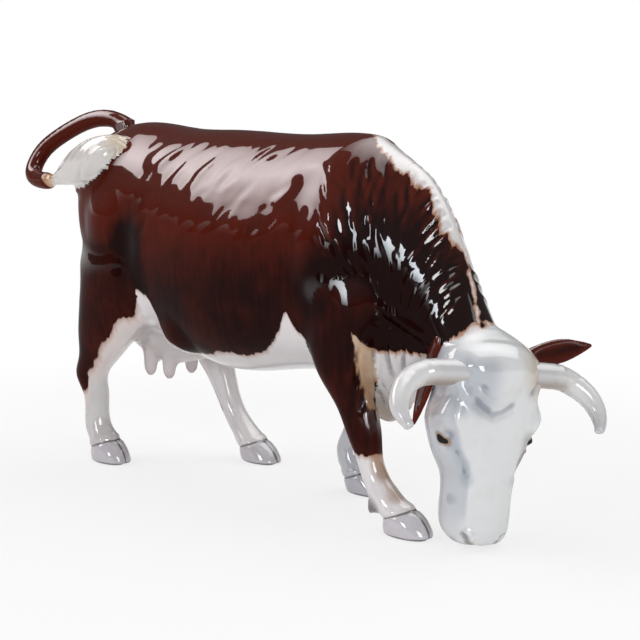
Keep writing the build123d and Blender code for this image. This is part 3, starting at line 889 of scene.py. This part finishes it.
@dataclass
class Head(Casting):
    """The head: brow, eyes, nose, muzzle and the tuft between the horns."""
    slots: ClassVar[Dict[Piece, Finish]] = {Piece.HEAD: Finish.WHITE}
    axes: HeadAxes = HeadAxes()
    features: Tuple[Any, ...] = (
        Swell((33.5, 4.0, 20.5), 9.0, 1.6),
        Swell((42.0, 2.5, 19.0), 8.5, -2.2),
        Swell((43.4, 1.3, 20.0), 3.4, 1.5),
        Furrow(((19.0, 7.5, 19.0), (27.0, 8.0, 18.5), (35.0, 8.0, 17.0), (42.0, 8.0, 13.5)), 2.2, 1.4),
        Swell((27.0, -4.0, 21.0), 9.0, -1.4),
        Furrow(((38.0, -3.0, 21.5), (39.6, 1.0, 21.0), (43.0, 5.0, 18.5)), 1.1, 0.9),
        Furrow(((48.0, -2.0, 19.0), (48.0, 2.5, 18.5), (47.0, 5.5, 16.5)), 1.1, 0.7),
        Furrow(((45.5, 5.0, 16.5), (51.0, 6.5, 13.0), (58.0, 7.5, 10.5)), 2.4, -1.5),
        Furrow(((48.0, 8.5, 9.5), (58.0, 9.0, 9.5), (66.0, 9.5, 9.6), (76.0, 10.6, 9.4)), 1.8, 0.9),
        Swell((60.0, 1.0, 15.0), 11.0, -1.5),
        Swell((52.0, -8.0, 19.0), 11.0, 1.2),
        Swell((81.2, 8.7, 8.2), 3.0, -1.6),
        Furrow(((77.6, 9.2, 9.8), (79.5, 10.4, 7.0), (82.0, 10.2, 4.6)), 1.2, 0.9),
        Furrow(((85.4, 8.0, 0.0), (84.6, 7.0, 6.0), (82.5, 3.5, 10.2), (77.0, -2.0, 11.8)), 0.9, -1.0),
        Swell((17.0, 3.5, 22.5), 9.0, 1.3),
    )
    tuft: Tuple[Any, ...] = (
        Swell((12.0, 9.0, 0.0), 20.0, 1.6),
        Furrow(((6, 5, -18), (14, 8, -16), (20, 9.5, -11), (23, 10, -5)), 2.4, -1.1),
        Furrow(((14, 7, -19), (21, 9, -15), (27, 10, -8), (32, 10, 0)), 2.0, -1.2),
        Furrow(((5, 7, -6), (13, 9, -7), (20, 10, -7), (26, 10, -5)), 3.2, -0.35),
        Furrow(((5, 6, 8), (12, 8.5, 11), (19, 9.5, 10), (25, 10, 5)), 2.8, -0.5),
        Furrow(((9, 5, 16), (15, 7, 19), (21, 8, 17), (25, 9, 12)), 1.8, -1.2),
        Furrow(((20, 9, -13), (26, 10, -7), (28.5, 10, -3), (26, 10, 2), (21, 9, 7)), 2.2, 0.9),
        Furrow(((24, 9, -14), (30, 10, -7), (32.5, 10, -3), (30, 10, 2), (25, 9, 8)), 2.4, -0.9),
        Swell((41.0, 8.5, 0.0), 12.0, -0.7),
    )
    eye_axes: Row = (2.3, 1.5)
    nostril: Tuple[Point, ...] = ((79.8, 9.0, 9.4), (81.8, 9.0, 8.2), (83.6, 8.8, 5.6))
    mouth: Tuple[Point, ...] = ((85.4, 8.6, 0.0), (84.8, 7.6, 5.6), (82.6, 3.5, 10.4), (78.5, 0.0, 11.8))
    blush: Colour = (0.74, 0.58, 0.54)
    shade: Colour = (0.43, 0.47, 0.52)
    chalk: Colour = (0.765, 0.775, 0.78)
    boss: Colour = (0.50, 0.39, 0.28)
    dusk: Colour = (0.24, 0.21, 0.19)

    def shape(self, skin: Skin) -> None:
        """The face's features on both sides, and the tuft's locks."""
        mine = skin.of(Piece.HEAD)
        spots = self.axes.folded(skin.points)
        lifts = sum(stroke.lifts(spots) for stroke in self.features)
        plain = self.axes.inside(skin.points)
        front = ease(-2.0, 3.0, plain[:, 1])
        lifts = lifts + sum(stroke.lifts(plain) for stroke in self.tuft) * front
        skin.push(lifts * mine)

    def paint(self, skin: Skin, marks: Marks) -> None:
        """Eyes, nostrils, the mouth and thin washes over the white, with painted shade in the groove below the
        eye, on the brow, the side planes, the creases and under the muzzle.
        """
        mine = skin.of(Piece.HEAD)
        spots = self.axes.folded(skin.points)
        plain = self.axes.inside(skin.points)
        down, out, aside = spots.T
        u = (down - 43.4) * 0.66 + (out - 1.3) * 0.75
        v = (down - 43.4) * 0.75 - (out - 1.3) * 0.66
        eye = np.hypot(u / self.eye_axes[0], v / self.eye_axes[1])
        marks.eye = np.where(mine & (aside > 12.0), np.minimum(eye, 9.0), marks.eye)
        marks.tint(mine * 1.0, self.chalk)
        marks.tint(mine * ease(2.2, 0.5, along(spots, self.nostril)[0]) * 0.85, self.dusk)
        marks.tint(mine * ease(1.3, 0.3, along(spots, self.mouth)[0]) * 0.55, self.dusk)
        # The tints in the shade colour are painted shade.
        groove = along(spots, ((41.0, 4.5, 18.5), (47.0, 5.5, 16.0), (58.0, 7.5, 10.5)))[0]
        marks.tint(mine * ease(4.6, 0.8, groove) * 0.95, self.shade)
        cheek = ease(6.0, -2.0, out) * ease(12.0, 22.0, down) * ease(44.0, 34.0, down)
        marks.tint(mine * cheek * 0.6, self.blush)
        brow = ease(-22.0, -16.0, plain[:, 2]) * ease(2.0, -8.0, plain[:, 2])
        brow *= ease(6.0, 14.0, down) * ease(36.0, 27.0, down)
        marks.tint(mine * brow * 0.75, self.shade)
        boss = np.linalg.norm(plain - np.array((15.0, 4.0, 19.0)), axis=1)
        marks.tint(mine * ease(15.0, 5.0, boss) * 0.7, self.boss)
        side = ease(0.45, 0.9, np.abs(skin.normals @ np.array(self.axes.left))) * ease(84.0, 70.0, down)
        marks.tint(mine * side * 0.6, self.shade)
        far = ease(10.0, 16.0, plain[:, 2]) * ease(36.0, 42.0, down) * ease(66.0, 58.0, down)
        marks.tint(mine * far * 0.8, self.dusk)
        creases = ease(3.0, 10.0, down) * ease(40.0, 30.0, down) * ease(0.25, 0.6, marks.pool)
        marks.tint(mine * creases * 0.4, self.shade)
        marks.tint(mine * ease(78.0, 84.0, down) * ease(8.0, 2.0, out) * 0.6, self.shade)


@dataclass
class Horns(Casting):
    """The two horns: ringed near the root, smooth at the tip."""
    slots: ClassVar[Dict[Piece, Finish]] = {Piece.HORN_RIGHT: Finish.HORN, Piece.HORN_LEFT: Finish.HORN}
    axes: HeadAxes = HeadAxes()
    core: Tuple[Point, ...] = ((16.8, 3.0, 24.2), (18.0, 5.0, 33.0), (24.0, 9.5, 40.0), (31.0, 14.0, 42.5),
                               (36.1, 16.2, 41.8))
    rings: int = 5
    ring_lift: float = 0.07
    root_depth: float = 8.0
    cream: Colour = (0.76, 0.755, 0.75)
    grey: Colour = (0.54, 0.54, 0.56)
    root_underside_shade: Colour = (0.30, 0.23, 0.17)

    def shape(self, skin: Skin) -> None:
        """A root that sinks into the tuft, and growth rings that fade towards the tip."""
        spots = self.axes.inside(skin.points)
        inward = -np.sign(spots[:, 2:3]) * np.array(self.axes.left)
        skin.points = skin.points + inward * (self.root_depth * ease(30.0, 23.5, np.abs(spots[:, 2])))[:, None]
        skin.settle()
        share = along(self.axes.folded(skin.points), self.core)[1]
        rings = np.sin(share * self.rings * 2.0 * math.pi / 0.6) * ease(0.62, 0.2, share)
        skin.push(self.ring_lift * rings)

    def paint(self, skin: Skin, marks: Marks) -> None:
        """Cream, grey at the tip, and painted shade in brown under the root."""
        share = along(self.axes.folded(skin.points), self.core)[1]
        marks.tint(np.ones(len(share)), self.cream)
        marks.tint(np.maximum(ease(0.6, 1.0, share) * 0.7, ease(0.3, 0.0, share) * 0.6), self.grey)
        # Painted shade: brown on the root's faces that look down.
        under = ease(0.1, -0.7, skin.normals[:, 2])
        marks.tint(under * ease(0.5, 0.1, share) * 0.8, self.root_underside_shade)


@dataclass
class Ears(Casting):
    """The two ears: the left one stands out, the right one hangs beside the cheek."""
    slots: ClassVar[Dict[Piece, Finish]] = {Piece.EAR_RIGHT: Finish.CHESTNUT, Piece.EAR_LEFT: Finish.CHESTNUT}
    axes: HeadAxes = HeadAxes()
    left_rib: Tuple[Point, ...] = ((11.0, -8.0, 22.0), (9.0, -12.0, 38.0), (6.0, -16.0, 52.0))
    right_rib: Tuple[Point, ...] = ((8.0, -9.0, -21.0), (22.0, -12.0, -24.0), (38.0, -15.0, -24.0))

    def shape(self, skin: Skin) -> None:
        """A soft hollow down the middle of each ear."""
        spots = self.axes.inside(skin.points)
        lifts = Furrow(self.left_rib, 2.6, -0.7).lifts(spots) + Furrow(self.right_rib, 2.2, -0.5).lifts(spots)
        skin.push(lifts)

    def paint(self, skin: Skin, marks: Marks) -> None:
        """Chestnut, paler at the rim, and darkened all over with painted shade."""
        marks.coat = np.where(marks.pool < -0.9, 1.6, 7.0)
        # Painted shade that darkens the whole ear.
        marks.pool += 0.5


@dataclass
class Legs(Casting):
    """The four legs, with their cloven hooves."""
    slots: ClassVar[Dict[Piece, Finish]] = {
        Piece.FORELEG_RIGHT: Finish.CHESTNUT, Piece.FORELEG_LEFT: Finish.WHITE,
        Piece.HINDLEG_RIGHT: Finish.CHESTNUT, Piece.HINDLEG_LEFT: Finish.WHITE}
    feet: Tuple[Tuple[Piece, Row], ...] = (
        (Piece.FORELEG_RIGHT, (90.2, -18.3)), (Piece.FORELEG_LEFT, (38.2, 19.7)),
        (Piece.HINDLEG_RIGHT, (-91.8, -18.3)), (Piece.HINDLEG_LEFT, (-37.3, 29.7)))
    coronet_height: float = 9.8
    coronet_slope: float = 0.38
    coronet_groove: float = 0.45
    thigh_edge: Tuple[Row, ...] = (
        (-106, 33), (-99, 35.2), (-97.9, 44.1), (-90.6, 51), (-85.2, 57.6), (-77.6, 64.6), (-72.4, 72.4),
        (-65.7, 74), (-62.1, 80.1), (-58, 87.6), (-54, 90))
    brisket_edge: Tuple[Row, ...] = (
        (42, 75.5), (46, 73.8), (51.8, 71.3), (57, 69.7), (63, 68.4), (68.4, 67.4), (73.8, 66.8), (84.6, 65.5))
    fore_right_edge: float = 30.5
    fore_left_edge: float = 41.0
    hind_left_edge: float = 78.0
    tan: Colour = (0.68, 0.53, 0.36)
    ochre: Colour = (0.40, 0.27, 0.14)
    slate: Colour = (0.17, 0.16, 0.16)
    dewclaw: Point = (76.5, -22.0, 10.8)
    hoof: Colour = (0.56, 0.54, 0.58)
    hind_leg_shade: Colour = (0.50, 0.49, 0.48)
    spurs: Tuple[Swell, ...] = (Swell((77.0, -20.5, 11.5), 5.0, 4.0), Swell((80.0, -20.0, 14.0), 9.0, 1.5))
    orange: Colour = (0.36, 0.20, 0.11)
    far_foreleg_shade: Colour = (0.50, 0.53, 0.58)
    pink: Colour = (0.74, 0.62, 0.58)

    def coronet(self, skin: Skin, foot: Row) -> Array:
        """How far each point is over the hoof's upper edge."""
        edge = self.coronet_height + self.coronet_slope * (skin.points[:, 0] - foot[0])
        return skin.points[:, 2] - np.clip(edge, 6.5, 11.0)

    def shape(self, skin: Skin) -> None:
        """A groove round each hoof's upper edge."""
        lifts = sum(spur.lifts(skin.points) for spur in self.spurs) * skin.of(Piece.FORELEG_RIGHT)
        for piece, foot in self.feet:
            over = self.coronet(skin, foot)
            groove = np.exp(-(over / 0.9) ** 2) - 0.6 * np.exp(-((over - 2.2) / 1.4) ** 2)
            lifts -= self.coronet_groove * groove * skin.of(piece)
        skin.push(lifts)

    def paint(self, skin: Skin, marks: Marks) -> None:
        """The coat's lower edges, the hooves and their brushed lines, with painted shade on the legs."""
        x, y, z = skin.points.T
        front = skin.normals[:, 0]
        # Painted shade: the legs' chestnut darker than the body's.
        marks.pool += 0.9 * skin.of(Piece.FORELEG_RIGHT, Piece.FORELEG_LEFT)
        marks.pool += 0.75 * skin.of(Piece.HINDLEG_RIGHT, Piece.HINDLEG_LEFT)
        on = {piece: skin.of(piece) for piece, _ in self.feet}
        rear_strip = np.maximum((-front - 0.5) * 9.0, z - self.hind_left_edge) - 9.0 * (z < 22.0)
        brisket = np.maximum.reduce([read_off(self.brisket_edge, z) - x, 42.0 - z, z - 84.0 + 1.7 * (x - 65.5)])
        edges = {
            Piece.FORELEG_RIGHT: np.minimum(z - self.fore_right_edge, brisket),
            Piece.FORELEG_LEFT: z - self.fore_left_edge,
            Piece.HINDLEG_RIGHT: (z - read_off(self.thigh_edge, x)) * 0.7,
            Piece.HINDLEG_LEFT: rear_strip,
        }
        for piece, edge in edges.items():
            marks.coat = np.where(on[piece], np.clip(edge, -9.0, 9.0), marks.coat)
        marks.tint(on[Piece.FORELEG_RIGHT] * ease(0.35, 0.9, front) * ease(10.0, 15.0, z) * 0.85, self.orange)
        # Painted shade: the far foreleg greyed blue.
        marks.tint(on[Piece.FORELEG_LEFT] * 0.7, self.far_foreleg_shade)
        marks.tint(on[Piece.FORELEG_RIGHT] * ease(38.0, 44.0, z) * ease(73.0, 67.5, x) * 0.85, self.tan)
        marks.tint(on[Piece.FORELEG_RIGHT] * ease(38.0, 44.0, z) * ease(58.0, 48.0, z) * 0.6, self.ochre)
        hock = on[Piece.HINDLEG_RIGHT] * ease(-8.0, -1.0, edges[Piece.HINDLEG_RIGHT])
        # Painted shade: the right hind leg greyed.
        marks.tint(on[Piece.HINDLEG_RIGHT] * 0.6, self.hind_leg_shade)
        marks.tint(on[Piece.FORELEG_RIGHT] * Swell(self.dewclaw, 6.5, 1.7).lifts(skin.points), self.slate)
        marks.tint(hock * 0.6, self.pink)
        for piece, foot in self.feet:
            over = self.coronet(skin, foot)
            marks.tint(on[piece] * ease(0.6, -0.8, over) * 0.75, self.hoof)
            away = np.where(on[piece], 0.0, 9.0)
            marks.stroke(np.abs(over) - 0.3 + away)
            cleft = np.abs(y - foot[1]) - 0.5 + np.where((over < 0.0) & (x > foot[0]), 0.0, 9.0)
            marks.stroke(cleft + away)
            marks.stroke(np.abs(z - 0.6) - 0.5 + away)


@dataclass
class Udder(Casting):
    """The udder and its four teats."""
    slots: ClassVar[Dict[Piece, Finish]] = {Piece.UDDER: Finish.UDDER}
    quarters: Tuple[Any, ...] = (
        Furrow(((-74, -16, 70), (-66, -16, 62), (-58, -14, 54)), 2.2, -1.0),
        Furrow(((-60, 5.7, 50), (-48, 5.7, 49), (-36, 5.7, 51)), 2.5, -1.2),
    )
    rose_and_shade: Colour = (0.58, 0.52, 0.51)
    tip: Colour = (0.46, 0.38, 0.36)

    def shape(self, skin: Skin) -> None:
        """Folds between the quarters."""
        skin.push(sum(stroke.lifts(skin.points) for stroke in self.quarters) * skin.of(Piece.UDDER))

    def paint(self, skin: Skin, marks: Marks) -> None:
        """Rosy white greyed with painted shade, warmer at the tips of the teats."""
        mine = skin.of(Piece.UDDER)
        # Painted shade over the rosy white of the whole udder.
        marks.tint(mine * 0.8, self.rose_and_shade)
        marks.tint(mine * ease(47.0, 41.0, skin.points[:, 2]) * 0.7, self.tip)


@dataclass
class Tail(Casting):
    """The tail's rope, and the white tuft at its end with its strands."""
    slots: ClassVar[Dict[Piece, Finish]] = {Piece.TAIL: Finish.CHESTNUT}
    tuft: Tuple[Point, ...] = ((-129.2, -17.7, 129.9), (-117.8, -19.3, 134.1), (-106.4, -20.3, 139.2),
                               (-95.0, -20.8, 144.6), (-84.4, -19.0, 150.1), (-77.9, -17.2, 153.6))
    tuft_reach: float = 13.0
    strands: float = 7.0
    strand_lift: float = 0.4
    rope_lift: float = 1.8
    loop_rise: float = 3.6
    orange: Colour = (0.58, 0.30, 0.12)
    cream: Colour = (0.74, 0.58, 0.40)
    hair: Colour = (0.72, 0.69, 0.64)

    def within(self, skin: Skin) -> Tuple[Array, Array]:
        """How far each point is inside the tuft, and the share of the tuft's length there."""
        apart, share = along(skin.points, self.tuft)
        start, second = np.array(self.tuft[0]), np.array(self.tuft[1])
        before = (start - skin.points) @ unit(second - start) - 2.0
        return -np.maximum(apart - self.tuft_reach, before), share

    def shape(self, skin: Skin) -> None:
        """A full rope, a loop that stands high, and strands that run down the tuft with a slow twist."""
        mine = skin.of(Piece.TAIL)
        inside, share = self.within(skin)
        skin.push(self.rope_lift * mine * ease(2.0, -3.0, inside) * ease(-80.0, -90.0, skin.points[:, 0]))
        skin.points[:, 2] += self.loop_rise * mine * ease(-84.0, -130.0, skin.points[:, 0])
        skin.settle()
        inside, share = self.within(skin)
        ahead = unit(np.array(self.tuft[-1]) - np.array(self.tuft[0]))
        over = unit(np.cross(ahead, (0.0, 1.0, 0.0)))
        turn = np.arctan2(skin.normals @ over, -skin.normals[:, 1])
        twist = turn + 1.1 * np.sin(share * 5.0) + 0.5 * share
        ridges = np.abs(np.sin(twist * self.strands / 2.0)) - 0.6
        ridges += 0.4 * np.sin(twist * self.strands * 1.7 + 9.0 * share)
        skin.push(self.strand_lift * ridges * ease(0.0, 4.0, inside) * ease(0.0, 0.15, share) * mine)

    def paint(self, skin: Skin, marks: Marks) -> None:
        """A chestnut rope and a white tuft, orange at both ends."""
        mine = skin.of(Piece.TAIL)
        inside, share = self.within(skin)
        marks.coat = np.where(mine, np.clip(-inside, -9.0, 9.0), marks.coat)
        marks.tint(mine * 0.7, self.hair)
        marks.tint(mine * ease(0.16, 0.0, share) * 0.8, self.orange)
        marks.tint(mine * ease(0.84, 1.0, share) * 0.7, self.cream)


@dataclass
class Cow:
    """The whole figure: one skin for the body, and the horns and ears in finer clay."""
    body: Tuple[Casting, ...] = (Torso(), Head(), Legs(), Udder(), Tail())
    tips: Tuple[Casting, ...] = (Horns(), Ears())
    tip_pitch: float = 0.5
    hoof_top: float = 14.0

    def build(self) -> List[Any]:
        """Builds and dresses every piece.

        Returns:
            The pieces' objects.
        """
        glazes = {slot: Glaze(slot.value).material() for slot in Finish}
        clay = Clay()
        clay.press([p for p in PIECES if p not in APART])
        clay.fill()
        clay.soften()
        skin = clay.skin((Piece.HEAD, Piece.NECK, Piece.TAIL), self.hoof_top)
        log.info("skin: %d points, %d faces", len(skin.points), len(skin.quads))
        for part in self.body:
            part.shape(skin)
        marks = Marks.bare(skin)
        for part in self.body:
            part.paint(skin, marks)
        marks.seal()
        things = [thing for part in self.body for thing in part.dress(skin, marks, glazes)]
        for part in self.tips:
            for piece, slot in part.slots.items():
                things.append(self.tip(part, piece, slot, glazes[slot]))
        return things

    def tip(self, part: Casting, piece: Piece, slot: Finish, glaze: Any) -> Any:
        """Builds a horn or an ear.

        Args:
            part: the casting that it belongs to.
            piece: which piece.
            slot: its material slot.
            glaze: its finish.

        Returns:
            The piece's object.
        """
        clay = Clay(pitch=self.tip_pitch, reach=3.0)
        clay.press([piece])
        clay.soften()
        skin = clay.skin()
        part.shape(skin)
        marks = Marks.bare(skin)
        part.paint(skin, marks)
        marks.seal()
        return part.cut(skin, piece, marks, glaze, slot)


@dataclass(frozen=True)
class Lamp:
    """A soft area lamp: where it hangs, its width and height, watts, light and turn about its beam."""
    name: str
    place: Point
    size: Row
    power: float
    colour: Colour = (1.0, 1.0, 1.0)
    roll: float = 0.0

    def hang(self, aim: Point, spread: float) -> None:
        """Hangs the lamp facing the figure, with a grid that keeps its light on it.

        Args:
            aim: the place that it faces, in metres.
            spread: the grid's opening, in degrees.
        """
        data = bpy.data.lights.new(self.name, "AREA")
        data.shape = "RECTANGLE"
        data.size, data.size_y = self.size
        data.energy = self.power
        data.color = self.colour
        data.spread = math.radians(spread)
        thing = bpy.data.objects.new(self.name, data)
        thing.location = self.place
        turn = (Vector(aim) - Vector(self.place)).to_track_quat("-Z", "Y")
        turn = turn @ Quaternion((0.0, 0.0, 1.0), math.radians(self.roll))
        thing.rotation_euler = turn.to_euler()
        bpy.context.scene.collection.objects.link(thing)


@dataclass
class Studio:
    """The floor, the wall, the lamps and the camera."""
    lamps: Tuple[Lamp, ...] = (
        Lamp("window", (-0.736, -0.396, 0.83), (1.46, 0.45), 2.5, (1.0, 0.93, 0.93), -30.0),
        Lamp("side_window", (0.10, -1.05, 0.36), (0.22, 0.30), 0.44, (0.88, 0.94, 1.0)),
        Lamp("front", (0.98, -0.50, 0.36), (0.45, 0.45), 1.15),
        Lamp("top", (0.12, 0.40, 0.92), (1.1, 1.1), 2.4),
    )
    aim: Point = (0.0, 0.0, 0.08)
    camera_place: Point = (0.45870, -0.49167, 0.18652)
    camera_turn: Point = (90.0 - 9.280, 0.0, 41.274)
    lens: float = 86.06
    pale: Colour = (0.9, 0.9, 0.9)
    floor_size: float = 40.0
    floor_near: float = 0.16
    floor_far: float = 0.36
    wall_away: float = 6.0
    wall_height: float = 0.55
    wall_panels: int = 48
    world: float = 0.08
    floor_glow: float = 0.74
    spread: float = 90.0

    def build(self) -> None:
        """Sets up the studio."""
        self.floor()
        self.wall()
        for lamp in self.lamps:
            lamp.hang(self.aim, self.spread)
        self.surround()
        bpy.context.scene.view_settings.view_transform = "Standard"
        eye = bpy.data.cameras.new("camera")
        eye.lens = self.lens
        eye.sensor_width = 36.0
        eye.clip_start = 0.01
        thing = bpy.data.objects.new("camera", eye)
        thing.location = self.camera_place
        thing.rotation_euler = [math.radians(a) for a in self.camera_turn]
        bpy.context.scene.collection.objects.link(thing)
        bpy.context.scene.camera = thing

    def surround(self) -> None:
        """A dim white room."""
        world = bpy.data.worlds.new("studio")
        bpy.context.scene.world = world
        world.use_nodes = True
        ground = world.node_tree.nodes["Background"]
        ground.inputs["Color"].default_value = (1.0, 1.0, 1.0, 1.0)
        ground.inputs["Strength"].default_value = self.world

    def floor(self) -> None:
        """A plain pale floor that keeps the shadow near the figure and is white further out."""
        half = self.floor_size / 2.0
        paint = Paint("floor")
        spot = paint.add("ShaderNodeTexCoord", None, None, "Object")
        matt = paint.add("ShaderNodeBsdfDiffuse", None, {"Color": rgba(self.pale)})
        middle = paint.add("ShaderNodeVectorMath", {"operation": "LENGTH"}, {0: spot}, "Value")
        white_far = paint.step(middle, self.floor_near, self.floor_far)
        share = (white_far * (1.0 - self.floor_glow) + self.floor_glow) * self.seen(paint)
        shader = paint.add("ShaderNodeMixShader", None, {0: share, 1: matt, 2: self.white(paint)})
        paint.add("ShaderNodeOutputMaterial", None, {"Surface": shader})
        self.sheet("floor", [(-half, -half, 0.0), (half, -half, 0.0), (half, half, 0.0), (-half, half, 0.0)],
                   [(0, 1, 2, 3)], paint)

    def wall(self) -> None:
        """A low white wall that stands far out, all round the figure."""
        turns = np.linspace(0.0, 2.0 * math.pi, self.wall_panels, endpoint=False)
        ring = np.stack([np.cos(turns), np.sin(turns), 0.0 * turns], axis=1) * self.wall_away
        corners = [tuple(map(float, c)) for c in np.concatenate([ring, ring + (0.0, 0.0, self.wall_height)])]
        n = self.wall_panels
        paint = Paint("wall")
        matt = paint.add("ShaderNodeBsdfDiffuse", None, {"Color": rgba(self.pale)})
        shader = paint.add("ShaderNodeMixShader", None, {0: self.seen(paint), 1: matt, 2: self.white(paint)})
        paint.add("ShaderNodeOutputMaterial", None, {"Surface": shader})
        self.sheet("wall", corners, [(i, (i + 1) % n, n + (i + 1) % n, n + i) for i in range(n)], paint)

    def seen(self, paint: Paint) -> Sock:
        """1 for rays that come straight from the camera, a gloss or a glass."""
        rays = [paint.add("ShaderNodeLightPath", None, None, ray) for ray in
                ("Is Camera Ray", "Is Glossy Ray", "Is Transmission Ray")]
        return paint.step(rays[0] + rays[1] + rays[2], 0.0, 1.0)

    def white(self, paint: Paint) -> Sock:
        """Plain white."""
        return paint.add("ShaderNodeEmission", None, {"Color": (1.0, 1.0, 1.0, 1.0), "Strength": 1.0})

    def sheet(self, name: str, corners: List[Point], faces: List[Tuple[int, ...]], paint: Paint) -> None:
        """A plain sheet of the studio.

        Args:
            name: its name.
            corners: its corners in metres.
            faces: which corners each face has.
            paint: its finish.
        """
        mesh = bpy.data.meshes.new(name)
        mesh.from_pydata(corners, [], faces)
        mesh.materials.append(paint.material)
        thing = bpy.data.objects.new(name, mesh)
        bpy.context.scene.collection.objects.link(thing)


def main() -> None:
    """Builds the figure and its studio, and reports the pieces."""
    logging.basicConfig(level=logging.INFO, format="%(name)s %(message)s")
    Cow().build()
    Studio().build()


if __name__ == "__main__":
    main()
